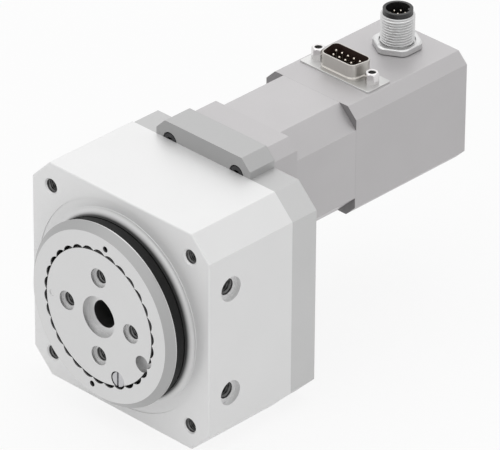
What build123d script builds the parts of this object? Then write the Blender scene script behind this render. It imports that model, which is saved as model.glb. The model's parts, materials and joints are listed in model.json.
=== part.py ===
from build123d import *
from math import acos, cos, degrees, hypot, radians, sin, sqrt, tan
import os

os.makedirs("parts", exist_ok=True)

# Frame
# Millimetres, +Z up. The origin is the centre of the turntable's face, where the
# pilot bore opens. The output looks along -Y and the motor lies behind it along +Y.
# The motor's axis is parallel to the output's, higher by one gear centre distance.

# Gear stage
gear_module = 0.75
gear_teeth = 51
pinion_teeth = 17
pressure_angle = 20
backlash = 0.08
centre_distance = gear_module * (gear_teeth + pinion_teeth) / 2
gear_front = 37.0
gear_width = 8.0
pinion_front = 36.5
pinion_width = 9.0

# Stations along Y, front to back
neck_front = 7.4
housing_front = 10.0
housing_depth = 38.8
plate_thickness = 12.0
bell_depth = 11.3
stator_depth = 28.6
box_depth = 54.9
plate_front = housing_front + housing_depth
bell_front = plate_front + plate_thickness
stator_front = bell_front + bell_depth
box_front = stator_front + stator_depth
box_back = box_front + box_depth

# Housing
housing_width = 83.0
housing_chamfer = 8.3
housing_edge = 0.6
neck_bore = 25.4
neck_radius = 32.9
flare_radius = 2.4
turned_ring_radius = 38.6
turned_ring_depth = 0.2
seal_inner = 28.6
seal_outer = 32.7
corner_pitch = 65.0
m5_hole = 2.5
m5_depth = 12.0
side_hole_station = 20.0
side_hole_pitch = 40.0
side_counterbore = 4.5
side_counterbore_depth = 2.1
m6_hole = 3.0
side_hole_depth = 12.0
gear_room = 31.5
pinion_room = 9.5

# Turntable
disc_radius = 24.6
disc_thickness = 6.0
ring_bore = 24.65
ring_radius = 33.5
ring_thickness = 3.0
ring_chamfer = 2.5
seal_front = 3.3
scallops = 30
scallop_angle = 89.1
scallop_radius = 3.25
scallop_circle = 22.65
scallop_depth = 2.4
spanner_circle = 27.6
spanner_hole = 1.1
lock_screw_radius = 2.75
lock_hole_radius = 3.05
lock_screw_edge = 0.2
lock_hole_depth = 2.3
lock_circle = 22.4
lock_angle = scallop_angle - 13 * 360 / scallops
spare_lock_angle = lock_angle + 3.5 * 360 / scallops
bolt_circle = 30.0
m5_sleeve = 3.5
m5_sleeve_depth = 1.6
flange_thread_depth = 8.0
pilot_radius = 7.5
pilot_depth = 2.8
hollow_radius = 5.0

# Output hub and its bearings
hub_shoulder = 22.3
front_seat = 20.0
front_bearing_bore = 31.0
front_bearing_width = 12.0
front_bearing_front = 11.0
hub_neck = 17.0
gear_seat = 12.5
gear_nut_width = 3.2
rear_seat = 8.5
rear_bearing_bore = 13.0
rear_bearing_width = 5.0
rear_bearing_front = 51.5
hub_end = 57.0
plate_passage = 4.0

# Motor
motor_width = 42.0
motor_chamfer = 7.9
bell_chamfer = 4.0
flange_width = 43.6
flange_height = 45.0
flange_chamfer = 4.0
screw_pitch = 31.0
motor_pilot = 11.0
motor_pilot_length = 2.0
shaft_radius = 2.5
shaft_front = 36.8
shaft_back = 121.5
motor_bearing_bore = 8.0
motor_bearing_width = 5.0
rotor_radius = 12.8
stator_bore = 13.1
winding_reach = 4.0
top_face = centre_distance + motor_width / 2

# Connectors
dsub_station = 117.2
dsub_flange_length = 31.9
dsub_flange_width = 11.3
dsub_flange_thickness = 0.6
dsub_wall = 0.45
dsub_skirt = 1.8
dsub_rim = 6.7
dsub_pin_reach = 5.7
jackscrew_pitch = 24.99
jackscrew_flats = 4.4
jackscrew_height = 4.3
board_top = 37.6
m12_station = 143.1
m12_radius = 6.0
m12_bore = 5.25
m12_tail = 6.5
m12_seal_height = 0.2
m12_flats = 15.8
m12_corners = 16.9
m12_flange_height = 2.4
m12_thread_top = 13.0
m12_insert_top = 14.7
m12_pin_reach = 12.7
m12_pin_circle = 2.6
m12_first_pin = 110.0

# Fasteners
m3_radius = 1.5
m3_head = 2.75
m3_head_height = 3.0
m3_counterbore = 3.2


def facing(y, z=0.0):
    """Sketch plane seen from the front: local x is +X, local y is +Z, normal -Y."""
    return Plane(origin=(0, y, z), x_dir=(1, 0, 0), z_dir=(0, -1, 0))


def profile_plane(z=0.0):
    """Half-section plane through an axis along Y: local x is radius, local y runs back along +Y."""
    return Plane(origin=(0, 0, z), x_dir=(1, 0, 0), z_dir=(0, 0, 1))


def axis_along_y(z=0.0):
    return Axis((0, 0, z), (0, 1, 0))


def save(builder, name):
    builder.part.label = name
    export_step(builder.part, f"parts/{name}.step")


def ring(name, inner, outer, front, width, z=0.0, edge=0.0):
    """Plain ring about an axis along Y, with its outer corners broken by edge."""
    with BuildPart() as piece:
        with BuildSketch(facing(front, z)):
            Circle(outer)
            Circle(inner, mode=Mode.SUBTRACT)
        extrude(amount=-width)
        if edge:
            chamfer(piece.edges().filter_by(GeomType.CIRCLE).group_by(SortBy.RADIUS)[-1], edge)
    save(piece, name)


def ball_bearing(prefix, bore, outside, front, width, ball, count, z=0.0):
    """Deep-groove bearing as four pieces: outer ring, inner ring, balls and cage."""
    pitch = (bore + outside) / 2
    middle = front + width / 2
    groove = ball + 0.1
    land = (outside - bore) * 0.27
    with BuildPart() as outer_ring:
        with BuildSketch(profile_plane(z)):
            with Locations(((outside - land / 2), middle)):
                Rectangle(land, width)
            with Locations((pitch, middle)):
                Circle(groove, mode=Mode.SUBTRACT)
        revolve(axis=axis_along_y(z))
    save(outer_ring, f"{prefix}_outer_ring")
    with BuildPart() as inner_ring:
        with BuildSketch(profile_plane(z)):
            with Locations(((bore + land / 2), middle)):
                Rectangle(land, width)
            with Locations((pitch, middle)):
                Circle(groove, mode=Mode.SUBTRACT)
        revolve(axis=axis_along_y(z))
    save(inner_ring, f"{prefix}_inner_ring")
    with BuildPart() as balls:
        with Locations(facing(middle, z)):
            with PolarLocations(pitch, count):
                Sphere(ball)
    save(balls, f"{prefix}_balls")
    cage_wall = min(0.35 * ball, (outside - bore) * 0.2)
    cage_width = min(2.4 * ball + 0.4, width - 0.6)
    with BuildPart() as cage:
        with BuildSketch(facing(middle - cage_width / 2, z)):
            Circle(pitch + cage_wall)
            Circle(pitch - cage_wall, mode=Mode.SUBTRACT)
        extrude(amount=-cage_width)
        with Locations(facing(middle, z)):
            with PolarLocations(pitch, count):
                Cylinder(ball, 6 * cage_wall, rotation=(0, 90, 0), mode=Mode.SUBTRACT)
    save(cage, f"{prefix}_cage")


def involute(base, radius):
    """Polar angle, in degrees, that an involute of this base circle has unwound at a radius."""
    roll = sqrt((radius / base) ** 2 - 1)
    return degrees(roll) - degrees(acos(base / radius))


def tooth_outline(teeth):
    """One spur tooth pointing along local x. Each flank is the arc through three points
    of the tooth's involute, and runs straight in from the base circle to the root."""
    pitch = gear_module * teeth / 2
    base = pitch * cos(radians(pressure_angle))
    root = pitch - 1.25 * gear_module
    tip = pitch + gear_module
    start = max(base, root)
    half = 90 / teeth - degrees(backlash / 2 / pitch) + involute(base, pitch)

    def flank(radius, side):
        turn = radians(half - involute(base, radius)) * side
        return radius * cos(turn), radius * sin(turn)

    foot = 0.96 * root
    with BuildSketch() as tooth:
        with BuildLine():
            Line((foot, -start * sin(radians(half))), flank(start, -1))
            ThreePointArc(flank(start, -1), flank((start + tip) / 2, -1), flank(tip, -1))
            ThreePointArc(flank(tip, -1), (tip, 0), flank(tip, 1))
            ThreePointArc(flank(tip, 1), flank((start + tip) / 2, 1), flank(start, 1))
            Line(flank(start, 1), (foot, start * sin(radians(half))))
            Line((foot, start * sin(radians(half))), (foot, -start * sin(radians(half))))
        make_face()
    return tooth.sketch


def spur_gear_face(teeth):
    """Root disc with its teeth, the first one towards +Z."""
    Circle(gear_module * (teeth / 2 - 1.25))
    with PolarLocations(0, teeth, start_angle=90):
        add(tooth)


def square_spots(pitch, x=0.0, z=0.0):
    half = pitch / 2
    return [(x + sx * half, z + sz * half) for sx in (-1, 1) for sz in (-1, 1)]


def polar_spot(radius, angle):
    return radius * cos(radians(angle)), radius * sin(radians(angle))


def chamfered_square(width, corner, edge=0.4, height=0.0):
    """Square, or rectangle of a height, with chamfered corners whose ends are rounded by edge."""
    outline = Rectangle(width, height or width)
    outline = chamfer(outline.vertices(), corner)
    fillet(outline.vertices(), edge)


# Main housing
with BuildPart() as housing:
    with BuildSketch(facing(housing_front)):
        chamfered_square(housing_width, housing_chamfer)
    extrude(amount=-housing_depth)
    fillet(housing.faces().sort_by(Axis.Y)[0].edges(), housing_edge)
    with BuildSketch(profile_plane()):
        with BuildLine():
            flare_start = (neck_radius, housing_front - flare_radius)
            flare_end = (neck_radius + flare_radius, housing_front)
            inner_foot = (neck_bore, housing_front + 0.5)
            outer_foot = (neck_radius + flare_radius, housing_front + 0.5)
            Polyline(inner_foot, (neck_bore, neck_front), (neck_radius, neck_front), flare_start)
            RadiusArc(flare_start, flare_end, flare_radius)
            Polyline(flare_end, outer_foot, inner_foot)
        make_face()
    revolve(axis=axis_along_y())
    with BuildSketch(facing(housing_front)):
        Circle(turned_ring_radius)
        Circle(neck_radius + flare_radius, mode=Mode.SUBTRACT)
    extrude(amount=-turned_ring_depth, mode=Mode.SUBTRACT)
    with BuildSketch(facing(neck_front)):
        Circle(neck_bore)
    extrude(amount=-10, mode=Mode.SUBTRACT)
    with BuildSketch(facing(front_bearing_front)):
        Circle(front_bearing_bore)
    extrude(amount=-(front_bearing_width + 3.5), mode=Mode.SUBTRACT)
    with BuildSketch(facing(front_bearing_front + front_bearing_width + 3.5)):
        Circle(gear_room)
        with Locations((0, centre_distance)):
            Circle(pinion_room)
    extrude(amount=-housing_depth, mode=Mode.SUBTRACT)
    with Locations(facing(housing_front)):
        with GridLocations(corner_pitch, corner_pitch, 2, 2):
            CounterSinkHole(m5_hole, m5_hole + 0.45, depth=m5_depth)
    for side in (-1, 1):
        with Locations(Plane(origin=(side * housing_width / 2, side_hole_station, 0),
                             x_dir=(0, 1, 0), z_dir=(side, 0, 0))):
            with GridLocations(0, side_hole_pitch, 1, 2):
                CounterBoreHole(m6_hole, side_counterbore, side_counterbore_depth, depth=side_hole_depth)
    with BuildSketch(facing(plate_front - 14)):
        with GridLocations(corner_pitch, corner_pitch, 2, 2):
            Circle(2)
        with GridLocations(73, 0, 2, 1):
            Circle(2)
    extrude(amount=-14, mode=Mode.SUBTRACT)
save(housing, "housing")

# Adapter plate with the raised motor flange
with BuildPart() as adapter_plate:
    with BuildSketch(facing(plate_front)):
        chamfered_square(housing_width - 0.6, housing_chamfer + 0.1)
    extrude(amount=-plate_thickness)
    with BuildSketch(facing(plate_front, centre_distance)):
        chamfered_square(flange_width, flange_chamfer, height=flange_height)
    extrude(amount=-plate_thickness)
    fillet(adapter_plate.faces().sort_by(Axis.Y)[-1].edges(), 0.5)
    with BuildSketch(facing(plate_front)):
        Circle(rear_bearing_bore)
        with Locations((0, centre_distance)):
            Circle(8.0)
    extrude(amount=-9.0, mode=Mode.SUBTRACT)
    with BuildSketch(facing(plate_front)):
        Circle(rear_bearing_bore - 2.5)
    extrude(amount=-9.8, mode=Mode.SUBTRACT)
    with BuildSketch(facing(plate_front)):
        Circle(plate_passage)
        with Locations((0, centre_distance)):
            Circle(8.0)
    extrude(amount=-plate_thickness, mode=Mode.SUBTRACT)
    with BuildSketch(facing(bell_front - motor_pilot_length - 0.3, centre_distance)):
        Circle(motor_pilot + 0.02)
    extrude(amount=-plate_thickness, mode=Mode.SUBTRACT)
    with Locations(facing(plate_front, centre_distance)):
        with GridLocations(screw_pitch, screw_pitch, 2, 2):
            CounterBoreHole(m3_radius + 0.1, m3_counterbore, m3_head_height)
    with Locations(Plane(origin=(0, bell_front, 0), x_dir=(-1, 0, 0), z_dir=(0, 1, 0))):
        with GridLocations(corner_pitch, corner_pitch, 2, 2):
            CounterBoreHole(2.25, 3.7, 4.4)
    with BuildSketch(facing(plate_front)):
        with GridLocations(73, 0, 2, 1):
            Circle(2)
    extrude(amount=-6, mode=Mode.SUBTRACT)
save(adapter_plate, "adapter_plate")

# Output side: turntable disc and hollow hub in one piece
with BuildPart() as output_flange:
    with BuildSketch(profile_plane()):
        with BuildLine():
            Polyline(
                (hollow_radius, 0), (disc_radius, 0), (disc_radius, disc_thickness),
                (hub_shoulder, disc_thickness), (hub_shoulder, front_bearing_front),
                (front_seat, front_bearing_front), (front_seat, 27), (hub_neck, 27),
                (hub_neck, gear_front), (gear_seat, gear_front), (gear_seat, 48.4),
                (rear_seat + 1.5, 48.4), (rear_seat + 1.5, rear_bearing_front),
                (rear_seat, rear_bearing_front),
                (rear_seat, hub_end), (hollow_radius, hub_end), (hollow_radius, 0),
            )
        make_face()
    revolve(axis=axis_along_y())
    with Locations(facing(0)):
        Hole(pilot_radius, depth=pilot_depth)
        with PolarLocations(bolt_circle / 2, 4):
            CounterBoreHole(m5_hole, m5_sleeve, m5_sleeve_depth, depth=flange_thread_depth)
        for angle in (lock_angle, spare_lock_angle):
            with Locations(polar_spot(lock_circle, angle)):
                Hole(lock_hole_radius, depth=lock_hole_depth)
        with Locations((-22.1, 0)):
            Hole(1.2, depth=0.2)
    with BuildSketch(facing(gear_front)):
        with Locations((0, gear_seat)):
            Rectangle(4, 3)
    extrude(amount=-gear_width, mode=Mode.SUBTRACT)
save(output_flange, "output_flange")

# Index ring, screwed on round the disc and locked in one of its scallops
with BuildPart() as index_ring:
    with BuildSketch(facing(0)):
        Circle(ring_radius)
        Circle(ring_bore, mode=Mode.SUBTRACT)
    extrude(amount=-ring_thickness)
    chamfer(index_ring.faces().sort_by(Axis.Y)[0].edges().sort_by(SortBy.RADIUS)[-1], ring_chamfer)
    with BuildSketch(facing(0)):
        with PolarLocations(scallop_circle, scallops, start_angle=scallop_angle):
            Circle(scallop_radius)
    extrude(amount=-scallop_depth, mode=Mode.SUBTRACT)
    with Locations(facing(0)):
        for half_turn in (0, 180):
            with Locations(polar_spot(spanner_circle, scallop_angle - 180 / scallops + half_turn)):
                Hole(spanner_hole, depth=2.4)
save(index_ring, "index_ring")

with BuildPart() as lock_screw:
    with BuildSketch(facing(0.1)):
        with Locations(polar_spot(lock_circle, lock_angle)):
            Circle(lock_screw_radius)
    extrude(amount=-(lock_hole_depth - 0.1))
    chamfer(lock_screw.faces().sort_by(Axis.Y)[0].edges(), lock_screw_edge)
    with BuildSketch(facing(0.1)):
        with Locations(polar_spot(lock_circle, lock_angle)):
            Rectangle(0.8, 7)
    extrude(amount=-0.9, mode=Mode.SUBTRACT)
save(lock_screw, "lock_screw")

# Output bearings, seal and what holds them
ball_bearing("main_bearing", front_seat, front_bearing_bore, front_bearing_front,
             front_bearing_width, 3.5, 12)
ball_bearing("rear_output_bearing", rear_seat, rear_bearing_bore, rear_bearing_front,
             rear_bearing_width, 1.4, 12)
ring("output_seal", seal_inner, seal_outer, seal_front, neck_front - seal_front, edge=0.3)
ring("main_bearing_retainer", 25.0, front_bearing_bore, 23.0, 3.0)
ring("hub_locknut", front_seat, 23.6, 23.0, 3.6, edge=0.4)
ring("rear_bearing_spring", 10.7, 12.6, 56.5, 1.3)

# Spur gear on the hub, with its key and nut
tooth = tooth_outline(gear_teeth)
with BuildPart() as output_gear:
    with BuildSketch(facing(gear_front)):
        spur_gear_face(gear_teeth)
        Circle(gear_seat, mode=Mode.SUBTRACT)
        with Locations((0, gear_seat + 0.5)):
            Rectangle(4, 3, mode=Mode.SUBTRACT)
    extrude(amount=-gear_width)
save(output_gear, "output_gear")

with BuildPart() as gear_key:
    with Locations((0, gear_front + gear_width / 2, gear_seat + 0.2)):
        Box(4, gear_width, 3.2)
save(gear_key, "gear_key")
ring("gear_nut", gear_seat, 15.0, gear_front + gear_width, gear_nut_width, edge=0.4)

# Pinion, its set screw and the motor shaft
tooth = tooth_outline(pinion_teeth)
with BuildPart() as pinion:
    with BuildSketch(facing(pinion_front, centre_distance)):
        spur_gear_face(pinion_teeth)
    extrude(amount=-pinion_width)
    with BuildSketch(facing(pinion_front + pinion_width, centre_distance)):
        Circle(6.2)
    extrude(amount=-5.0)
    with BuildSketch(facing(pinion_front, centre_distance)):
        Circle(shaft_radius)
    extrude(amount=-pinion_width - 5.0, mode=Mode.SUBTRACT)
    with BuildSketch(Plane.XY.offset(centre_distance)):
        with Locations((0, pinion_front + pinion_width + 2.5)):
            Circle(1.25)
    extrude(amount=7, mode=Mode.SUBTRACT)
save(pinion, "pinion")

with BuildPart() as pinion_set_screw:
    with BuildSketch(Plane.XY.offset(centre_distance + 2.0)):
        with Locations((0, pinion_front + pinion_width + 2.5)):
            Circle(1.25)
    extrude(amount=4.0)
save(pinion_set_screw, "pinion_set_screw")

with BuildPart() as motor_shaft:
    with BuildSketch(facing(shaft_front, centre_distance)):
        Circle(shaft_radius)
    extrude(amount=-(shaft_back - shaft_front))
    chamfer(motor_shaft.edges().filter_by(GeomType.CIRCLE).sort_by(Axis.Y)[0], 0.4)
    with BuildSketch(facing(66.8, centre_distance)):
        Circle(3.2)
    extrude(amount=-(105.2 - 66.8))
    with Locations((0, shaft_front + 7, centre_distance + 3.0)):
        Box(6, 14, 2, mode=Mode.SUBTRACT)
save(motor_shaft, "motor_shaft")

# Rotor
for name, front, length, radius in (
    ("rotor_front_core", 74.4, 11.0, rotor_radius),
    ("rotor_magnet", 85.4, 3.0, 10.5),
    ("rotor_rear_core", 88.4, 11.0, rotor_radius),
):
    ring(name, 3.2, radius, front, length, centre_distance)

# Motor bearings and their spring
for prefix, front in (("motor_front_bearing", 61.8), ("motor_rear_bearing", 105.2)):
    ball_bearing(prefix, shaft_radius, motor_bearing_bore, front,
                 motor_bearing_width, 1.6, 7, centre_distance)
ring("motor_bearing_spring", 5.8, 7.7, 110.2, 0.8, centre_distance)

# Front bell
with BuildPart() as motor_front_bell:
    with BuildSketch(facing(bell_front, centre_distance)):
        chamfered_square(motor_width, bell_chamfer)
    extrude(amount=-bell_depth)
    with BuildSketch(facing(bell_front - motor_pilot_length, centre_distance)):
        Circle(motor_pilot)
    extrude(amount=-motor_pilot_length)
    with BuildSketch(facing(bell_front - motor_pilot_length, centre_distance)):
        Circle(4.6)
    extrude(amount=-bell_depth, mode=Mode.SUBTRACT)
    with BuildSketch(facing(61.8, centre_distance)):
        Circle(motor_bearing_bore)
    extrude(amount=-bell_depth, mode=Mode.SUBTRACT)
    with BuildSketch(facing(67.6, centre_distance)):
        Circle(19)
    extrude(amount=-bell_depth, mode=Mode.SUBTRACT)
    with Locations(facing(bell_front, centre_distance)):
        with GridLocations(screw_pitch, screw_pitch, 2, 2):
            Hole(m3_radius)
save(motor_front_bell, "motor_front_bell")

# Stator: lamination pack with eight poles
with BuildPart() as stator_core:
    with BuildSketch(facing(stator_front, centre_distance)):
        chamfered_square(motor_width, motor_chamfer)
        Circle(18.7, mode=Mode.SUBTRACT)
        with PolarLocations(16.8, 8):
            Rectangle(4.6, 4.2)
        Circle(14.6)
        Circle(stator_bore, mode=Mode.SUBTRACT)
        with PolarLocations(13.9, 8, start_angle=22.5):
            Rectangle(2.4, 2.0, mode=Mode.SUBTRACT)
        with GridLocations(screw_pitch, screw_pitch, 2, 2):
            Circle(m3_radius, mode=Mode.SUBTRACT)
    extrude(amount=-stator_depth)
save(stator_core, "stator_core")

with BuildPart() as stator_windings:
    with BuildSketch(facing(stator_front - winding_reach, centre_distance)):
        with PolarLocations(16.5, 8):
            Rectangle(3.2, 8.4)
    extrude(amount=-(stator_depth + 2 * winding_reach))
    with BuildSketch(facing(stator_front, centre_distance)):
        with PolarLocations(16.5, 8):
            Rectangle(3.4, 4.2)
    extrude(amount=-stator_depth, mode=Mode.SUBTRACT)
save(stator_windings, "stator_windings")

# Rear box: bearing wall, encoder room, connector openings
encoder_floor = 112.0
room_width = 37.0
wall_top = top_face - 2.5
with BuildPart() as encoder_housing:
    with BuildSketch(facing(box_front, centre_distance)):
        chamfered_square(motor_width, bell_chamfer)
    extrude(amount=-box_depth)
    with BuildSketch(facing(box_front, centre_distance)):
        Circle(19)
    extrude(amount=-(105.0 - box_front), mode=Mode.SUBTRACT)
    with BuildSketch(facing(box_front, centre_distance)):
        Circle(motor_bearing_bore)
    extrude(amount=-(111.0 - box_front), mode=Mode.SUBTRACT)
    with BuildSketch(facing(box_front, centre_distance)):
        Circle(4)
    extrude(amount=-(encoder_floor - box_front), mode=Mode.SUBTRACT)
    with BuildSketch(facing(encoder_floor, centre_distance)):
        RectangleRounded(room_width, room_width, 1.5)
    extrude(amount=-box_depth, mode=Mode.SUBTRACT)
    with BuildSketch(facing(encoder_floor, centre_distance)):
        with Locations((-13, -8.5), (-13, 5.5), (13, -8.5), (13, 5.5)):
            Circle(2.4)
    extrude(amount=-14.0)
    with BuildSketch(facing(146.0, centre_distance)):
        with GridLocations(33, 15, 2, 2):
            Rectangle(5, 5)
    extrude(amount=-(box_back - 3.0 - 146.0))
    with BuildSketch(facing(encoder_floor, centre_distance)):
        with GridLocations(screw_pitch, screw_pitch, 2, 2):
            Circle(m3_radius + 0.1)
    extrude(amount=encoder_floor - box_front, mode=Mode.SUBTRACT)
    with BuildSketch(facing(126.0, centre_distance)):
        with Locations((-13, -8.5), (-13, 5.5), (13, -8.5), (13, 5.5)):
            Circle(0.9)
    extrude(amount=6.0, mode=Mode.SUBTRACT)
    with BuildSketch(Plane.XY.offset(wall_top - 1)):
        with Locations((0, dsub_station)):
            Rectangle(19.4, 10.8)
        with Locations((0, m12_station)):
            Circle(6.1)
        with Locations((-jackscrew_pitch / 2, dsub_station), (jackscrew_pitch / 2, dsub_station)):
            Circle(1.4)
    extrude(amount=5, mode=Mode.SUBTRACT)
    with BuildSketch(facing(box_back, centre_distance)):
        with GridLocations(32, 15, 2, 2):
            Circle(1.0)
    extrude(amount=9.0, mode=Mode.SUBTRACT)
save(encoder_housing, "encoder_housing")

# Rear cover, let into the back of the box
with BuildPart() as rear_cover:
    with BuildSketch(facing(box_back - 3.0, centre_distance)):
        RectangleRounded(room_width - 0.1, room_width - 0.1, 1.45)
    extrude(amount=-3.0)
    with Locations(Plane(origin=(0, box_back, centre_distance), x_dir=(-1, 0, 0), z_dir=(0, 1, 0))):
        with GridLocations(32, 15, 2, 2):
            CounterBoreHole(1.1, 2.2, 1.6)
save(rear_cover, "rear_cover")


def behind(y):
    """Sketch plane seen from behind: local x is -X, local y is +Z, normal +Y."""
    return Plane(origin=(0, y, 0), x_dir=(-1, 0, 0), z_dir=(0, 1, 0))


def cap_screws(name, seat, spots, radius, length, head, head_height, socket, plane_of):
    """Cap screws seated at one station: the heads stand on it, the shanks run the other way."""
    with BuildPart() as screws:
        with BuildSketch(plane_of(seat)):
            with Locations(*spots):
                Circle(head)
        extrude(amount=head_height)
        with BuildSketch(plane_of(seat)):
            with Locations(*spots):
                Circle(radius)
        extrude(amount=-length)
        with BuildSketch(plane_of(seat)):
            with Locations(*spots):
                RegularPolygon(socket, 6)
        extrude(amount=head_height, mode=Mode.SUBTRACT)
        with BuildSketch(plane_of(seat)):
            with Locations(*spots):
                Circle(head)
        extrude(amount=head_height * 0.45)
    save(screws, name)


# Fasteners
motor_spots = square_spots(screw_pitch, 0, centre_distance)
cover_spots = [(x, centre_distance + z) for x in (-16, 16) for z in (-7.5, 7.5)]
post_spots = [(x, centre_distance + z) for x in (-13, 13) for z in (-8.5, 5.5)]
cap_screws("motor_screws", plate_front + 3.0, motor_spots, 1.5, 13.4, 2.75, 2.9, 1.45, facing)
cap_screws("tie_screws", encoder_floor, motor_spots, 1.5, 45.5, 2.75, 2.9, 1.45, behind)
cap_screws("plate_screws", bell_front - 4.4, square_spots(corner_pitch), 2.0, 20.0, 3.5, 4.0, 1.75, behind)
cap_screws("cover_screws", box_back - 1.6, cover_spots, 1.0, 7.0, 2.0, 1.4, 0.9, behind)
cap_screws("board_screws", 127.6, post_spots, 0.9, 5.0, 1.8, 1.4, 0.8, behind)

with BuildPart() as dowel_pins:
    with BuildSketch(facing(plate_front - 14)):
        with GridLocations(73, 0, 2, 1):
            Circle(2)
    extrude(amount=-19.8)
save(dowel_pins, "dowel_pins")

# Encoder and boards
with BuildPart() as encoder_disc:
    with BuildSketch(profile_plane(centre_distance)):
        with BuildLine():
            Polyline(
                (shaft_radius, 116), (4, 116), (4, 119.5), (10, 119.5),
                (10, 120.5), (4, 120.5), (4, 121.5), (shaft_radius, 121.5), (shaft_radius, 116),
            )
        make_face()
    revolve(axis=axis_along_y(centre_distance))
save(encoder_disc, "encoder_disc")

with BuildPart() as encoder_board:
    with BuildSketch(facing(126, centre_distance - 3.5)):
        Rectangle(31, 25)
        with Locations((-13, -5), (-13, 9), (13, -5), (13, 9)):
            Circle(0.9, mode=Mode.SUBTRACT)
    extrude(amount=-1.6)
    with Locations((0, 123.5, centre_distance + 6.8)):
        Box(8, 5, 4.2)
save(encoder_board, "encoder_board")

with BuildPart() as interface_board:
    with Locations((0, 132.0, 36.8)):
        Box(31, 36, 1.6)
save(interface_board, "interface_board")

# Nine-pin connector on top
def d_outline(grow=0.0, corner=0.9):
    """Rounded D with its wide side towards +Y, offset outwards by grow."""
    outline = Polygon(
        (-6.6 - grow, -3.9 - grow), (6.6 + grow, -3.9 - grow),
        (8.0 + grow, 3.9 + grow), (-8.0 - grow, 3.9 + grow), align=None,
    )
    fillet(outline.vertices(), corner + grow)


d_plane = Plane(origin=(0, dsub_station, top_face), x_dir=(1, 0, 0), z_dir=(0, 0, 1))
rear_row = [(2.77 * (i - 2), 1.42) for i in range(5)]
front_row = [(2.77 * (i - 1.5), -1.42) for i in range(4)]
pin_spots = rear_row + front_row
with BuildPart() as dsub_shell:
    with BuildSketch(d_plane):
        RectangleRounded(dsub_flange_length, dsub_flange_width, 0.8)
    extrude(amount=dsub_flange_thickness)
    with BuildSketch(d_plane):
        d_outline(dsub_wall + 0.5)
    extrude(amount=dsub_skirt)
    fillet(dsub_shell.faces().group_by(Axis.Z)[-1].edges(), 0.4)
    with BuildSketch(d_plane):
        d_outline(dsub_wall)
    extrude(amount=dsub_rim)
    with BuildSketch(d_plane):
        d_outline()
    extrude(amount=dsub_rim, mode=Mode.SUBTRACT)
    with Locations(d_plane):
        with GridLocations(jackscrew_pitch, 0, 2, 1):
            Cylinder(1.4, 4, mode=Mode.SUBTRACT)
save(dsub_shell, "dsub_shell")

with BuildPart() as dsub_insulator:
    with BuildSketch(d_plane):
        d_outline()
    extrude(amount=1.5)
    with BuildSketch(d_plane):
        Rectangle(19.0, 10.4)
    extrude(amount=-(top_face - board_top))
    with Locations(d_plane):
        with Locations(*pin_spots):
            Hole(0.5)
save(dsub_insulator, "dsub_insulator")

with BuildPart() as dsub_pins:
    with BuildSketch(d_plane.offset(dsub_pin_reach)):
        with Locations(*pin_spots):
            Circle(0.5)
    extrude(amount=-(top_face + dsub_pin_reach - board_top))
save(dsub_pins, "dsub_pins")

jackscrew_seat = d_plane.offset(dsub_flange_thickness)
with BuildPart() as dsub_jackscrews:
    with BuildSketch(jackscrew_seat):
        with GridLocations(jackscrew_pitch, 0, 2, 1):
            RegularPolygon(jackscrew_flats / 2, 6, major_radius=False)
    extrude(amount=jackscrew_height)
    with BuildSketch(jackscrew_seat.offset(jackscrew_height)):
        with GridLocations(jackscrew_pitch, 0, 2, 1):
            Circle(1.2)
    extrude(amount=-4.0, mode=Mode.SUBTRACT)
    with BuildSketch(jackscrew_seat):
        with GridLocations(jackscrew_pitch, 0, 2, 1):
            Circle(1.4)
    extrude(amount=-4.5)
save(dsub_jackscrews, "dsub_jackscrews")

# Round M12 connector on top
m12_plane = Plane(origin=(0, m12_station, top_face), x_dir=(1, 0, 0), z_dir=(0, 0, 1))
m12_ring_of_pins = [polar_spot(m12_pin_circle, m12_first_pin + i * 360 / 7) for i in range(7)]
m12_pins_at = [(0, 0)] + m12_ring_of_pins
m12_key_angle = m12_first_pin - 1.5 * 360 / 7
with BuildPart() as m12_seal:
    with BuildSketch(m12_plane):
        Circle(7.4)
        Circle(m12_radius, mode=Mode.SUBTRACT)
    extrude(amount=m12_seal_height)
save(m12_seal, "m12_seal")

with BuildPart() as m12_shell:
    with BuildSketch(m12_plane.offset(m12_seal_height)):
        RegularPolygon(m12_flats / 2, 6, major_radius=False, rotation=45)
        Circle(m12_corners / 2, mode=Mode.INTERSECT)
    extrude(amount=m12_flange_height)
    chamfer(m12_shell.faces().sort_by(Axis.Z)[-1].edges(), 0.3)
    with BuildSketch(m12_plane.offset(-m12_tail)):
        Circle(m12_radius)
    extrude(amount=m12_tail + m12_thread_top)
    chamfer(m12_shell.faces().sort_by(Axis.Z)[-1].edges(), 0.4)
    with BuildSketch(m12_plane.offset(-m12_tail)):
        Circle(m12_bore)
    extrude(amount=m12_tail + m12_thread_top, mode=Mode.SUBTRACT)
save(m12_shell, "m12_shell")

with BuildPart() as m12_nut:
    with BuildSketch(m12_plane.offset(-2.5)):
        RegularPolygon(7.5, 6, major_radius=False)
        Circle(m12_radius, mode=Mode.SUBTRACT)
    extrude(amount=-3.0)
save(m12_nut, "m12_nut")

with BuildPart() as m12_insert:
    with BuildSketch(m12_plane.offset(-m12_tail)):
        Circle(m12_bore)
    extrude(amount=m12_tail + m12_insert_top)
    with BuildSketch(m12_plane.offset(m12_insert_top)):
        Circle(4.2)
        with Locations(Location(polar_spot(4.2, m12_key_angle), m12_key_angle)):
            Rectangle(1.4, 1.2, mode=Mode.SUBTRACT)
    extrude(amount=-8.0, mode=Mode.SUBTRACT)
    with Locations(m12_plane):
        with Locations(*m12_pins_at):
            Hole(0.4)
save(m12_insert, "m12_insert")

with BuildPart() as m12_pins:
    with BuildSketch(m12_plane.offset(m12_pin_reach)):
        with Locations(*m12_pins_at):
            Circle(0.4)
    extrude(amount=-(m12_pin_reach + top_face - board_top))
save(m12_pins, "m12_pins")
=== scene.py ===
import json
from math import cos, pi, radians, sin

import bmesh
import bpy
import numpy as np
from mathutils import Matrix, Vector


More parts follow.
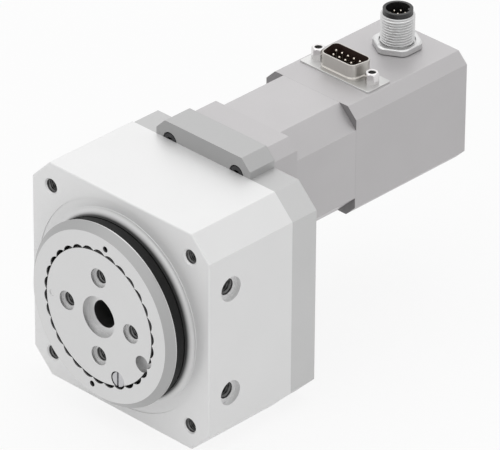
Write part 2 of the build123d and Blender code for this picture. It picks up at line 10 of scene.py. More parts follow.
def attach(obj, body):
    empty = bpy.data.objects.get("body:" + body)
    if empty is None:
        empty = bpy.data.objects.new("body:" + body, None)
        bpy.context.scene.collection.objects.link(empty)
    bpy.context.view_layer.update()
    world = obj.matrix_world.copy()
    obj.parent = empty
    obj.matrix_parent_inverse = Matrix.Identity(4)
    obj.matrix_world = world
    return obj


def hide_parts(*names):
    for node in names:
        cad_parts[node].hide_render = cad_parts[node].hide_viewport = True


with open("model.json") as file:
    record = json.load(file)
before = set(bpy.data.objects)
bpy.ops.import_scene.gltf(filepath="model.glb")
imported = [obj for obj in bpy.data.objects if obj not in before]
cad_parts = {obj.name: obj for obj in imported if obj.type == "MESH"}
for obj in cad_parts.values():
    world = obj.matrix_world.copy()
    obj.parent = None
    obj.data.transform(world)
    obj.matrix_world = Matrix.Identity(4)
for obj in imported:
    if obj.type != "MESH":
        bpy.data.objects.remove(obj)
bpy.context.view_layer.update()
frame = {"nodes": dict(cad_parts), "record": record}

MM = 0.001

# Faces and stations of the part: X and Z from the output axis, Y back from the turntable
HOUSING_HALF_WIDTH = 41.5 * MM
HOUSING_FRONT = 10.0 * MM
PLATE_FRONT = 48.8 * MM
PLATE_TOP = 41.2 * MM
BOX_FRONT = 100.7 * MM
BOARD_TOP = 37.6 * MM
TOP_FACE = 46.5 * MM
DSUB_Y = 117.2 * MM
M12_Y = 143.1 * MM

# Threaded holes: where they are, and each thread's nominal radius and pitch
CORNER_PITCH = 65.0 * MM
CORNER_COUNTERSINK = 0.45 * MM
SIDE_HOLE_Y = 20.0 * MM
SIDE_HOLE_PITCH = 40.0 * MM
SIDE_COUNTERBORE = 2.1 * MM
BOLT_CIRCLE_RADIUS = 15.0 * MM
BOLT_COUNTERBORE = 1.6 * MM
M5 = (2.5 * MM, 0.8 * MM)
M6 = (3.0 * MM, 1.0 * MM)

# A thread that stands in a hole: its depth in pitches, its gap to the hole's wall, and the
# wall that is left behind its roots
THREAD_DEPTH = 0.6
THREAD_GAP = 0.012 * MM
THREAD_WALL = 0.01 * MM
ROWS_A_TURN = 6

# The round connector's shell: heights from its tail in the box to its rim, radii, hexagon
M12_TAIL = TOP_FACE - 6.5 * MM
M12_FOOT = TOP_FACE + 0.2 * MM
M12_FLANGE_TOP = TOP_FACE + 2.6 * MM
M12_GROOVE_FLOOR = M12_FLANGE_TOP - 0.65 * MM
M12_RIM = TOP_FACE + 13.0 * MM
M12_BORE = 5.25 * MM
M12_MINOR = 5.38 * MM
M12_MAJOR = 6.0 * MM
M12_COLLAR = 5.9 * MM
M12_GROOVE = 6.25 * MM
M12_CROWN = 8.3 * MM
M12_FLATS = 15.8 * MM
M12_CORNERS = 17.3 * MM
M12_PITCH = 1.0 * MM
M12_ROWS_A_TURN = 10

# Contact pins: the radius and the height of the tip, and where they stand. A tip is as long as
# TIP_RADII of its radii.
M12_PIN = (0.4 * MM, TOP_FACE + 12.7 * MM)
M12_PIN_CIRCLE = 2.6 * MM
M12_FIRST_PIN = 110.0
DSUB_PIN = (0.45 * MM, TOP_FACE + 6.0 * MM)
DSUB_PIN_PITCH = 2.77 * MM
DSUB_HALF_ROWS = 1.42 * MM
TIP_RADII = 1.3

# The flat connector's plate and D-shaped shell
PLATE_HALF_LENGTH = 15.95 * MM
PLATE_HALF_WIDTH = 5.65 * MM
PLATE_CORNER = 0.8 * MM
D_CORNERS = np.array([(-6.95, -4.1), (6.95, -4.1), (8.4, 4.1), (-8.4, 4.1)]) * MM
D_CORNER_RADIUS = 1.9 * MM
CORNER_STEPS = 12

# Its jackscrews
JACKSCREW_PITCH = 24.99 * MM
JACKSCREW_SEAT = TOP_FACE + 0.6 * MM
JACKSCREW_TOP = JACKSCREW_SEAT + 4.3 * MM
JACKSCREW_FLATS = 4.4 * MM
JACKSCREW_CORNERS = 5.0 * MM
JACKSCREW_BORE = 1.25 * MM
JACKSCREW_BORE_DEPTH = 3.6 * MM
JACKSCREW_THREAD = (JACKSCREW_BORE, 0.64 * MM)
STUD_RADIUS = 1.4 * MM
STUD_LENGTH = 4.5 * MM

# Seats of the lock screw and of its spare among the thirty scallops. Their circle and their
# centres, X and Z, are in millimetres, as the bands of a finish are.
SCALLOP_STEP = 360 / 30
FIRST_SCALLOP = 89.1
LOCK_CIRCLE = 22.4
LOCK_ANGLE = radians(FIRST_SCALLOP - 13 * SCALLOP_STEP)
LOCK_CENTRE = (LOCK_CIRCLE * cos(LOCK_ANGLE), LOCK_CIRCLE * sin(LOCK_ANGLE))
SPARE_ANGLE = LOCK_ANGLE + radians(3.5 * SCALLOP_STEP)
SPARE_CENTRE = (LOCK_CIRCLE * cos(SPARE_ANGLE), LOCK_CIRCLE * sin(SPARE_ANGLE))

# Finishes: how far a colour drifts, how far its roughness varies, where the noise mostly lies,
# and how far a tone laid on a flat face reaches to both sides of it
DRIFT = 18 * MM
ROUGH_SPREAD = 0.05
NOISE_LOW, NOISE_HIGH = 0.3, 0.7
FACE_REACH = 0.05 * MM

# Camera, fitted to the straight edges of the housing and the motor box. Its sensor and lens are
# in millimetres.
CAMERA_AZIMUTH = radians(44.077)
CAMERA_ELEVATION = radians(30.624)
CAMERA_ROLL = radians(0.432)
CAMERA_DISTANCE = 1.9883
CAMERA_TARGET = Vector((1.11 * MM, 70.4 * MM, 6.3 * MM))
SENSOR_WIDTH = 36.0
LENS = 424.7

# Lamps, a broad one overhead and weaker ones round the part: name, place and side in metres,
# power in watts
LAMPS = (
    ("ceiling_lamp", (-0.15, 0.1, 1.4), 2.0, 10.2),
    ("side_lamp", (1.4, 0.2, 0.3), 0.9, 0.1),
    ("front_lamp", (0.0, -1.3, 0.2), 0.8, 1.6),
    ("back_lamp", (-0.55, 0.6, 0.45), 0.5, 0.25),
)

# The white world's strength as a light, the plain white's share of what is seen of the floor,
# and how far the floor reaches and how deep it lies
WORLD_LEVEL = 0.6
FLOOR_WHITE = 0.85
FLOOR_REACH = 3.0
FLOOR = -41.55 * MM
WHITE = (1, 1, 1, 1)


def place_camera():
    """Camera at the photograph's angle: back along its own axis from the target, then rolled."""
    back = Vector((
        sin(CAMERA_AZIMUTH) * cos(CAMERA_ELEVATION),
        -cos(CAMERA_AZIMUTH) * cos(CAMERA_ELEVATION),
        sin(CAMERA_ELEVATION),
    ))
    right = Vector((cos(CAMERA_AZIMUTH), sin(CAMERA_AZIMUTH), 0))
    up = back.cross(right)
    rolled_right = right * cos(CAMERA_ROLL) + up * sin(CAMERA_ROLL)
    rolled_up = up * cos(CAMERA_ROLL) - right * sin(CAMERA_ROLL)
    data = bpy.data.cameras.new("photo_camera")
    data.sensor_width = SENSOR_WIDTH
    data.lens = LENS
    data.clip_start = 0.1
    camera = bpy.data.objects.new("photo_camera", data)
    turn = Matrix((rolled_right, rolled_up, back)).transposed().to_4x4()
    camera.matrix_world = Matrix.Translation(CAMERA_TARGET + back * CAMERA_DISTANCE) @ turn
    bpy.context.collection.objects.link(camera)
    bpy.context.scene.camera = camera


# Materials

def linear(code):
    """Linear colour, with alpha 1, from an sRGB hex code."""
    parts = [int(code[i:i + 2], 16) / 255 for i in (1, 3, 5)]
    return [c / 12.92 if c <= 0.04045 else ((c + 0.055) / 1.055) ** 2.4 for c in parts] + [1.0]


def add_node(tree, kind, inputs=None, links=None, **settings):
    """One shader node with its settings, socket values and incoming links."""
    node = tree.nodes.new("ShaderNode" + kind)
    for key, value in settings.items():
        setattr(node, key, value)
    for key, value in (inputs or {}).items():
        node.inputs[key].default_value = value
    for key, source in (links or {}).items():
        tree.links.new(source, node.inputs[key])
    return node


def finish_material(name, light, dark, metallic, rough, grain_mm, relief_mm,
                    lines=None, sockets=None):
    """A surface whose colour drifts between two tones, with grain of a size in millimetres in
    its roughness and relief. lines = (kind, pitch, depth) adds rings round the output axis, or
    sheets or wires across the motor, in millimetres. sockets sets more of the shader."""
    material = bpy.data.materials.new(name)
    material.use_nodes = True
    tree = material.node_tree
    tree.nodes.clear()
    shader = add_node(tree, "BsdfPrincipled", {"Metallic": metallic, **(sockets or {})})
    add_node(tree, "OutputMaterial", links={"Surface": shader.outputs["BSDF"]})
    place = add_node(tree, "TexCoord").outputs["Object"]
    cloud = add_node(tree, "TexNoise", {"Scale": 1 / DRIFT, "Detail": 3.0}, {"Vector": place})
    grain = add_node(tree, "TexNoise",
                     {"Scale": 1 / (grain_mm * MM), "Detail": 4.0, "Roughness": 0.65},
                     {"Vector": place})
    # The drift stays between one and four fifths of the way from the light tone to the dark one
    mixed = add_node(tree, "Math", {1: 0.6, 2: 0.2}, {0: cloud.outputs["Fac"]},
                     operation="MULTIPLY_ADD")
    tone = add_node(tree, "Mix", {6: linear(light), 7: linear(dark)}, {0: mixed.outputs[0]},
                    data_type="RGBA")
    tree.links.new(tone.outputs[2], shader.inputs["Base Color"])
    spread = add_node(tree, "MapRange",
                      {"From Min": NOISE_LOW, "From Max": NOISE_HIGH,
                       "To Min": rough - ROUGH_SPREAD, "To Max": rough + ROUGH_SPREAD},
                      {"Value": grain.outputs["Fac"]})
    tree.links.new(spread.outputs[0], shader.inputs["Roughness"])
    bump = add_node(tree, "Bump", {"Strength": 0.5, "Distance": relief_mm * MM},
                    {"Height": grain.outputs["Fac"]})
    if lines:
        kind, pitch_mm, depth_mm = lines
        axes = add_node(tree, "SeparateXYZ", links={"Vector": place})
        along = axes.outputs["Y"]
        if kind == "rings":
            flat = add_node(tree, "CombineXYZ",
                            links={"X": axes.outputs["X"], "Y": axes.outputs["Z"]})
            along = add_node(tree, "VectorMath", links={0: flat.outputs[0]},
                             operation="LENGTH").outputs["Value"]
        scaled = add_node(tree, "Math", {1: 2 * pi / (pitch_mm * MM)}, {0: along},
                          operation="MULTIPLY")
        wave = add_node(tree, "Math", links={0: scaled.outputs[0]}, operation="SINE")
        bump = add_node(tree, "Bump", {"Strength": 0.5, "Distance": depth_mm * MM},
                        {"Height": wave.outputs[0], "Normal": bump.outputs["Normal"]})
    tree.links.new(bump.outputs["Normal"], shader.inputs["Normal"])
    return material


def tinted_where(material, mask, code):
    """Lays another tone over a finish's own wherever the mask is 1."""
    tree = material.node_tree
    shader = next(node for node in tree.nodes if node.type == "BSDF_PRINCIPLED")
    own = shader.inputs["Base Color"].links[0].from_socket
    tone = add_node(tree, "Mix", {7: linear(code)}, {0: mask, 6: own}, data_type="RGBA")
    tree.links.new(tone.outputs[2], shader.inputs["Base Color"])


def object_axes(material):
    """A finish's node tree, and the X, Y and Z sockets of the place that is being shaded."""
    tree = material.node_tree
    place = next(node for node in tree.nodes if node.type == "TEX_COORD").outputs["Object"]
    return tree, add_node(tree, "SeparateXYZ", links={"Vector": place}).outputs


def tinted_band(material, code, radii, depths, fade=0.0, centre=(0.0, 0.0)):
    """Lays a tone over the part of a finish that lies between two radii round an axis along Y
    and between two depths, all in millimetres. A limit of -1 takes in the axis too. The tone
    fades away over the last fade millimetres of the depth. centre is the axis's X and Z."""
    tree, axes = object_axes(material)
    flat = add_node(tree, "CombineXYZ", links={"X": axes["X"], "Y": axes["Z"]})
    reach = add_node(tree, "VectorMath", {1: (centre[0] * MM, centre[1] * MM, 0)},
                     {0: flat.outputs[0]}, operation="DISTANCE").outputs["Value"]
    mask = add_node(tree, "MapRange", {"From Min": (depths[1] - fade - 0.001) * MM,
                                       "From Max": depths[1] * MM, "To Min": 1.0, "To Max": 0.0},
                    {"Value": axes["Y"]}, interpolation_type="SMOOTHSTEP").outputs[0]
    for source, limit, side in ((reach, radii[0], "GREATER_THAN"), (reach, radii[1], "LESS_THAN"),
                                (axes["Y"], depths[0], "GREATER_THAN")):
        inside = add_node(tree, "Math", {1: limit * MM}, {0: source}, operation=side).outputs[0]
        mask = add_node(tree, "Math", links={0: inside, 1: mask}, operation="MULTIPLY").outputs[0]
    tinted_where(material, mask, code)


def box_front_painted_shade(material):
    """Painted shade: the narrow front face of the electronics box is coloured darker."""
    tree, axes = object_axes(material)
    front = add_node(tree, "Math", {1: BOX_FRONT, 2: FACE_REACH}, {0: axes["Y"]},
                     operation="COMPARE")
    tinted_where(material, front.outputs[0], "#8b898a")


def motor_flange_painted_shade(material):
    """Painted shade: the plate's top face is coloured darker than its sides, the raised motor
    flange above it darker still, and its front face most of all."""
    tree, axes = object_axes(material)
    for height, code in ((PLATE_TOP - FACE_REACH, "#bebebe"), (PLATE_TOP + FACE_REACH, "#b4b4b4")):
        above = add_node(tree, "Math", {1: height}, {0: axes["Z"]}, operation="GREATER_THAN")
        tinted_where(material, above.outputs[0], code)
    front = add_node(tree, "Math", {1: PLATE_FRONT, 2: FACE_REACH}, {0: axes["Y"]},
                     operation="COMPARE")
    both = add_node(tree, "Math", links={0: above.outputs[0], 1: front.outputs[0]},
                    operation="MULTIPLY")
    tinted_where(material, both.outputs[0], "#a7a7a7")


# Real grain and turning marks are about 0.02 to 0.1 mm, too fine to show at this distance, so
# they are drawn at 0.25 mm and more. Sheets and wires have their real pitch.

# Clear-anodised aluminium, bead-blasted: pale, matt and even, with a fine sparkle-free grain.
BLASTED = finish_material("blasted_anodised_aluminium", "#eaeaea", "#e4e4e4",
                          metallic=0.3, rough=0.45, grain_mm=0.3, relief_mm=0.012)
# Painted shade: next to the seal the neck is coloured near black, for the turntable's shadow and
# the seal's dark reflection; the painted shade fades out up its fillet.
tinted_band(BLASTED, "#1d1d1d", radii=(32.0, 35.3), depths=(6.8, 9.98), fade=2.0)

# The plate and the motor flange, milled from the same aluminium: a darker, flatter grey.
MILLED = finish_material("milled_anodised_aluminium", "#cfcfcf", "#c8c8c8",
                         metallic=0.5, rough=0.5, grain_mm=0.3, relief_mm=0.012)
# Painted shade on the plate's top, the raised flange and its front face.
motor_flange_painted_shade(MILLED)

# The same aluminium, turned before it was anodised: faint rings round the output axis.
TURNED = finish_material("turned_anodised_aluminium", "#d9d9d9", "#d2d2d2",
                         metallic=0.9, rough=0.4, grain_mm=0.3, relief_mm=0.006,
                         lines=("rings", 0.45, 0.004))
# Painted shade: the turntable's deep bore is coloured dark grey, the gap round the lock screw near
# black, and the spare screw's seat a little darker.
tinted_band(TURNED, "#747474", radii=(-1, 5.15), depths=(3.0, 90))
tinted_band(TURNED, "#242424", radii=(-1, 3.2), depths=(0.12, 3.0), centre=LOCK_CENTRE)
tinted_band(TURNED, "#bdbdbd", radii=(-1, 3.2), depths=(0.12, 3.0), centre=SPARE_CENTRE)

# The index ring is turned too. Painted reflection: its bevel is coloured darker, for the dimmer
# light it reflects.
RING = finish_material("turned_anodised_ring", "#d9d9d9", "#d2d2d2",
                       metallic=0.9, rough=0.4, grain_mm=0.3, relief_mm=0.006,
                       lines=("rings", 0.45, 0.004))
# Painted reflection: the bevel is darker.
tinted_band(RING, "#aaaaaa", radii=(31.0, 40), depths=(0.03, 2.6))
# Painted shade: the floors of its scallops and spanner holes are coloured dark grey.
tinted_band(RING, "#5c5c5c", radii=(23.0, 30.5), depths=(0.6, 3.2))

# Die-cast aluminium, machined flat: greyer, with a softer grain.
DIECAST = finish_material("machined_diecast_aluminium", "#c2c0c1", "#b8b6b7",
                          metallic=0.5, rough=0.5, grain_mm=0.5, relief_mm=0.012)
# Painted shade on the box's narrow front face.
box_front_painted_shade(DIECAST)

# Ground lamination pack: fine lines across the motor, one for each 0.5 mm sheet.
LAMINATED = finish_material("ground_steel_laminations", "#c3c1c2", "#b8b6b7",
                            metallic=0.5, rough=0.45, grain_mm=0.4, relief_mm=0.008,
                            lines=("sheets", 0.5, 0.006))

# Threads tapped in the anodised aluminium, coloured dark grey: painted shade for the flanks that
# little light reaches.
THREAD = finish_material("tapped_anodised_aluminium", "#6a6a6a", "#585858",
                         metallic=1.0, rough=0.35, grain_mm=0.3, relief_mm=0.006)

# Nickel-plated brass, bright from the lathe.
NICKEL = finish_material("nickel_plated_brass", "#dddbdb", "#cfcdcd",
                         metallic=1.0, rough=0.2, grain_mm=0.4, relief_mm=0.002)
# The same where a thread is cut: duller, as its flanks catch less light.
NICKEL_TURNED = finish_material("nickel_plated_turned_brass", "#d6d6d6", "#cacaca",
                                metallic=0.9, rough=0.4, grain_mm=0.4, relief_mm=0.004)

# Tin-plated steel, pressed: a warm grey with a dull shine.
TINNED = finish_material("tin_plated_steel", "#cbc8c3", "#bfbcb7",
                         metallic=0.9, rough=0.36, grain_mm=0.5, relief_mm=0.004)
# The connector's flat plate is coloured paler and less warm than the shell: a painted reflection
# of the white above it.
TINNED_PLATE = finish_material("tin_plated_sheet", "#d3d3d2", "#c9c9c8",
                               metallic=0.9, rough=0.4, grain_mm=0.5, relief_mm=0.004)
# Inside the shell the walls are coloured dark brown: painted shade, with a painted reflection of
# the moulding below it.
SHELL_INSIDE_SHADE = finish_material("shell_inside_painted_shade", "#3a2a24", "#2e201b",
                          metallic=0.0, rough=0.5, grain_mm=0.3, relief_mm=0.004)
# Threads in the small bores of the jackscrews, coloured near black: painted shade, as the bores
# swallow nearly all the light.
DARK_THREAD = finish_material("tapped_steel_painted_shade", "#4a4947", "#383735",
                              metallic=0.8, rough=0.45, grain_mm=0.3, relief_mm=0.006)

# Bright zinc-plated screw steel.
ZINC = finish_material("zinc_plated_steel", "#c9c9cb", "#b4b4b6",
                       metallic=1.0, rough=0.3, grain_mm=0.3, relief_mm=0.004)
# Black-oxide screw steel, oiled.
BLACK_OXIDE = finish_material("black_oxide_steel", "#5a5a5c", "#2c2c2d",
                              metallic=0.9, rough=0.28, grain_mm=0.3, relief_mm=0.006)
# Ground bearing steel, smooth and cool.
GROUND = finish_material("ground_bearing_steel", "#cfcfd2", "#bcbcc0",
                         metallic=1.0, rough=0.18, grain_mm=0.3, relief_mm=0.002)
# Turned carbon steel, slightly oiled.
CARBON = finish_material("turned_carbon_steel", "#a9a9aa", "#929293",
                         metallic=1.0, rough=0.32, grain_mm=0.3, relief_mm=0.004)
# Sintered rare-earth magnet under nickel.
MAGNET = finish_material("nickelled_magnet", "#8d8d90", "#77777a",
                         metallic=1.0, rough=0.3, grain_mm=0.3, relief_mm=0.004)
# Enamelled copper wire, wound side by side: a ridge for each 0.4 mm wire.
COPPER = finish_material("enamelled_copper_wire", "#b4602f", "#96491f",
                         metallic=1.0, rough=0.3, grain_mm=0.3, relief_mm=0.004,
                         lines=("sheets", 0.4, 0.05))
# Gold-flashed contact brass: the flash is so thin that it barely warms the metal.
CONTACT = finish_material("gold_flashed_brass", "#e9e1d6", "#d3cabd",
                          metallic=1.0, rough=0.22, grain_mm=0.3, relief_mm=0.001)

# Moulded nitrile rubber: almost black, dull, with little gloss.
RUBBER = finish_material("moulded_nitrile_rubber", "#1b1b1b", "#141414",
                         metallic=0.0, rough=0.6, grain_mm=0.3, relief_mm=0.01,
                         sockets={"Specular IOR Level": 0.25})
# Moulded glass-filled PBT: black-brown with a faint sheen.
PBT = finish_material("moulded_black_pbt", "#231d19", "#191411",
                      metallic=0.0, rough=0.42, grain_mm=0.25, relief_mm=0.004)
# Moulded black polyamide of the round connector.
POLYAMIDE = finish_material("moulded_black_polyamide", "#1e1e1e", "#151515",
                            metallic=0.0, rough=0.4, grain_mm=0.25, relief_mm=0.004)
# Green solder resist on glass laminate.
LAMINATE = finish_material("solder_resist_laminate", "#1e5a38", "#174a2d",
                           metallic=0.0, rough=0.35, grain_mm=0.8, relief_mm=0.004)
# Clear polycarbonate code disc.
DISC = finish_material("clear_polycarbonate", "#dfe7ea", "#d3dde1",
                       metallic=0.0, rough=0.1, grain_mm=2.0, relief_mm=0.001,
                       sockets={"Transmission Weight": 0.6})

SLOT_FINISH = {
    "blackened_steel": BLACK_OXIDE,
    "anodised_aluminium": BLASTED,
    "motor_aluminium": DIECAST,
    "laminations": LAMINATED,
    "magnet": MAGNET,
    "copper_wire": COPPER,
    "zinc_steel": ZINC,
    "bearing_steel": GROUND,
    "turned_steel": CARBON,
    "seal_rubber": RUBBER,
    "board": LAMINATE,
    "encoder_glass": DISC,
    "connector_steel": TINNED,
    "dark_plastic": POLYAMIDE,
    "contact_brass": CONTACT,
    "nickel_brass": NICKEL,
}
NODE_FINISH = {
    "adapter_plate": MILLED,
    "output_flange": TURNED,
    "index_ring": RING,
    "dsub_insulator": PBT,
}


def dress_frame():
    """Every CAD node gets the finish of its slot, or its own."""
    slots = {entry["node"]: entry["material_slot"] for entry in frame["record"]["subparts"]}
    for name, node in frame["nodes"].items():
        finish = NODE_FINISH.get(name, SLOT_FINISH[slots[name]])
        node.data.materials.clear()
        node.data.materials.append(finish)


# New pieces are grids of points: rows along the profile, columns along the outline. An axis is
# a triple of unit vectors, two across and one along.
UPWARDS = ((1, 0, 0), (0, 1, 0), (0, 0, 1))
FORWARDS = ((1, 0, 0), (0, 0, 1), (0, -1, 0))
RIGHTWARDS = ((0, 1, 0), (0, 0, 1), (1, 0, 0))
LEFTWARDS = ((0, 0, 1), (0, 1, 0), (-1, 0, 0))


def new_piece(name, points, faces, material, body):
    """Mesh object at the origin from an array of points and an array of four-sided faces."""
    mesh = bpy.data.meshes.new(name)
    mesh.from_pydata(points.reshape(-1, 3).tolist(), [], faces.reshape(-1, 4).tolist())
    mesh.validate()
    mesh.materials.append(material)
    piece = bpy.data.objects.new(name, mesh)
    bpy.context.collection.objects.link(piece)
    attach(piece, body)
    return piece


def closed_grid(name, points, material, body):
    """A ring-shaped piece: each row and each column of the grid closes on itself."""
    rows, columns = points.shape[:2]
    here = np.arange(rows * columns).reshape(rows, columns)
    down = np.roll(here, -1, axis=0)
    faces = np.stack([here, down, np.roll(down, -1, axis=1), np.roll(here, -1, axis=1)], axis=-1)
    return new_piece(name, points, faces, material, body)


def shut_grids(name, grids, material, body, node):
    """Several grids of the same size as one mesh. Their rows close on themselves, and the
    first and last row of each is one point, the pole that shuts it."""
    points = np.stack(grids)
    index = np.arange(points[..., 0].size).reshape(points.shape[:3])
    here, down = index[:, :-1], index[:, 1:]
    faces = np.stack([here, np.roll(here, -1, axis=2), np.roll(down, -1, axis=2), down], axis=-1)
    piece = new_piece(name, points, faces, material, body)
    close_poles(piece.data)
    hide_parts(node)


def close_poles(mesh):
    """Merges the points that lie together, so that the pole rows become one point each, and
    turns every face outwards."""
    work = bmesh.new()
    work.from_mesh(mesh)
    bmesh.ops.remove_doubles(work, verts=work.verts, dist=1e-6)
    bmesh.ops.dissolve_degenerate(work, edges=work.edges, dist=1e-7)
    bmesh.ops.recalc_face_normals(work, faces=work.faces)
    work.to_mesh(mesh)
    work.free()
    mesh.update()


def full_turn(columns):
    """Angles of a grid's columns, evenly round an axis."""
    return np.linspace(0, 2 * pi, columns, endpoint=False)[None, :]


def around(radius, height, turns, centre, axis):
    """Points at a radius and a height for each row and column, round an axis through centre:
    centre + radius * (cos(turn) * across + sin(turn) * over) + height * along."""
    across, over, along = (np.array(v, float) for v in axis)
    circle = np.cos(turns)[..., None] * across + np.sin(turns)[..., None] * over
    return np.array(centre) + radius[..., None] * circle + height[..., None] * along


def level_rows(table, turns):
    """Radii and heights of rows that are level all round. Each entry of the table is a radius,
    one for all columns or one for each, and a height."""
    radii = np.concatenate([np.broadcast_to(radius, turns.shape) for radius, _ in table])
    heights = np.concatenate([np.full(turns.shape, height) for _, height in table])
    return radii, heights


def thread_wave(height, turns, pitch):
    """Height of a 60 degree thread above its root, 0 to 1: a triangle wave of the distance
    along the axis less one pitch for each turn, with its crest and root cut flat."""
    steepness, root_flat = 1.35, 0.2
    phase = (height / pitch - turns / (2 * pi)) % 1.0
    return np.clip(np.abs(2 * phase - 1) * steepness - root_flat, 0, 1)


def hexagon_reach(turns, flats, corners):
    """Radius of a hexagon whose corners are cut by a circle: half the width across flats over
    the cosine of the angle from the nearest flat's middle, never past half of corners."""
    from_flat = (turns + pi / 6) % (pi / 3) - pi / 6
    return np.minimum(flats / 2 / np.cos(from_flat), corners / 2)


def threaded_m12_shell():
    """The round connector's shell. Each row is a height on the profile and each column an
    angle. The flange's rows follow the rounded hexagon, the stem's rows a circle less the
    depth of the helical thread, and the bore's rows run back down inside."""
    turns = full_turn(columns=96)
    flange = hexagon_reach(turns, M12_FLATS, M12_CORNERS)
    crown = np.minimum(flange, M12_CROWN)
    foot, top, rim = M12_FOOT, M12_FLANGE_TOP, M12_RIM
    flange_rows = level_rows((
        (M12_BORE, M12_TAIL),
        (M12_COLLAR, M12_TAIL),
        (M12_COLLAR, foot),
        (flange - 0.15 * MM, foot),
        (flange, foot + 0.15 * MM),
        (flange, top - 0.35 * MM),
        (crown - 0.28 * MM, top - 0.06 * MM),
        (crown - 0.5 * MM, top),
        (M12_GROOVE + 0.2 * MM, top),
        (M12_GROOVE + 0.05 * MM, top - 0.15 * MM),
        (M12_GROOVE, M12_GROOVE_FLOOR),
        (M12_MINOR, M12_GROOVE_FLOOR),
    ), turns)
    first, last = M12_GROOVE_FLOOR + 0.05 * MM, rim - 0.45 * MM
    count = int((last - first) / M12_PITCH * M12_ROWS_A_TURN)
    heights = np.linspace(first, last, count)[:, None]
    runout = np.clip((heights - first) / (0.4 * MM), 0, 1)
    wave = thread_wave(heights - first, turns, M12_PITCH)
    thread = M12_MINOR + (M12_MAJOR - M12_MINOR) * wave * runout
    rim_rows = level_rows((
        (M12_MINOR + 0.34 * MM, rim - 0.3 * MM),
        (M12_MINOR + 0.3 * MM, rim - 0.1 * MM),
        (M12_MINOR + 0.18 * MM, rim),
        (M12_BORE + 0.05 * MM, rim),
        (M12_BORE, rim - 0.08 * MM),
    ), turns)
    radii = np.concatenate([flange_rows[0], thread, rim_rows[0]])
    levels = np.concatenate([flange_rows[1], np.broadcast_to(heights, thread.shape), rim_rows[1]])
    points = around(radii, levels, turns, (0, M12_Y, 0), UPWARDS)
    shell = closed_grid("threaded_m12_shell", points[::-1], NICKEL_TURNED,
                        "housing_group")
    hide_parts("m12_shell")


def rounded_outline(corners, radius, steps):
    """Points and outward normals along a convex outline whose corners are rounded. Each
    corner is an arc about a centre that lies one radius inside both its sides."""
    corners = np.array(corners, float)
    ahead = np.roll(corners, -1, axis=0) - corners
    ahead /= np.linalg.norm(ahead, axis=1, keepdims=True)
    leaving = np.stack([ahead[:, 1], -ahead[:, 0]], axis=1)
    arriving = np.roll(leaving, 1, axis=0)
    spread = 1 + (leaving * arriving).sum(axis=1, keepdims=True)
    centres = corners - radius * (leaving + arriving) / spread
    start = np.arctan2(arriving[:, 1], arriving[:, 0])
    turn = (np.arctan2(leaving[:, 1], leaving[:, 0]) - start) % (2 * pi)
    angles = start[:, None] + turn[:, None] * np.linspace(0, 1, steps)
    normals = np.stack([np.cos(angles), np.sin(angles)], axis=-1)
    points = centres[:, None] + radius * normals
    return points.reshape(-1, 2), normals.reshape(-1, 2)


def pressed_d_shell():
    """The nine-pin connector's shell and plate as one closed grid. Its columns run along the
    rounded D and the plate's outline, corner for corner. Each row is one of the two outlines
    moved out along its normals, at a height above the motor's top face, both in millimetres."""
    plate_corners = [(x * PLATE_HALF_LENGTH, y * PLATE_HALF_WIDTH)
                     for x, y in ((-1, -1), (1, -1), (1, 1), (-1, 1))]
    plate = rounded_outline(plate_corners, PLATE_CORNER, CORNER_STEPS)
    shell = rounded_outline(D_CORNERS, D_CORNER_RADIUS, CORNER_STEPS)
    inside = [(shell, 0.0, 0.02), (shell, 0.0, 6.62)]
    outside = [(shell, 0.08, 6.7), (shell, 0.37, 6.7), (shell, 0.45, 6.62), (shell, 0.45, 2.15),
               (shell, 0.5, 1.95), (shell, 0.62, 1.83), (shell, 0.8, 1.78), (shell, 0.92, 1.7),
               (shell, 0.95, 1.55)]
    sheet = [(shell, 0.95, 0.6), (plate, -0.1, 0.6), (plate, 0.0, 0.5), (plate, 0.0, 0.02)]
    rows = []
    for (line, normals), out, height in inside + outside + sheet:
        flat = line + out * MM * normals
        level = np.full(len(flat), TOP_FACE + height * MM)
        rows.append(np.column_stack([flat[:, 0], flat[:, 1] + DSUB_Y, level]))
    points = np.stack(rows)
    piece = closed_grid("pressed_d_shell", points, TINNED, "housing_group")
    piece.data.materials.append(SHELL_INSIDE_SHADE)
    piece.data.materials.append(TINNED_PLATE)
    # The rows inside the shell take the painted shade, the plate's rows the painted reflection.
    finish = np.zeros(points.shape[:2], int)
    finish[:len(inside)] = 1
    finish[-len(sheet):] = 2
    piece.data.polygons.foreach_set("material_index", finish.ravel())
    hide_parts("dsub_shell")


def hole_thread(name, mouth, axis, thread, length, body, material):
    """Thread standing in a plain hole, cut along its axis from the mouth inwards. The radius
    of the inner wall is the nominal radius less the thread's depth times a triangle wave that
    slips one pitch each turn. The outer wall is a cylinder just inside the hole's own wall."""
    nominal, pitch = thread
    turns = full_turn(columns=36)
    start, mouth_end = 0.25 * pitch, 0.2 * pitch
    heights = -np.linspace(start, length, int(length / pitch * ROWS_A_TURN))[:, None]
    runout = np.clip((-heights - mouth_end) / pitch, 0, 1)
    wall = nominal - THREAD_GAP
    wave = thread_wave(heights, turns, pitch)
    inner = wall - THREAD_WALL - THREAD_DEPTH * pitch * wave * runout
    outer, ends = level_rows(((wall, -length), (wall, -mouth_end)), turns)
    levels = np.concatenate([np.broadcast_to(heights, inner.shape), ends])
    points = around(np.concatenate([inner, outer]), levels, turns, mouth, axis)
    closed_grid(name, points[::-1], material, body)


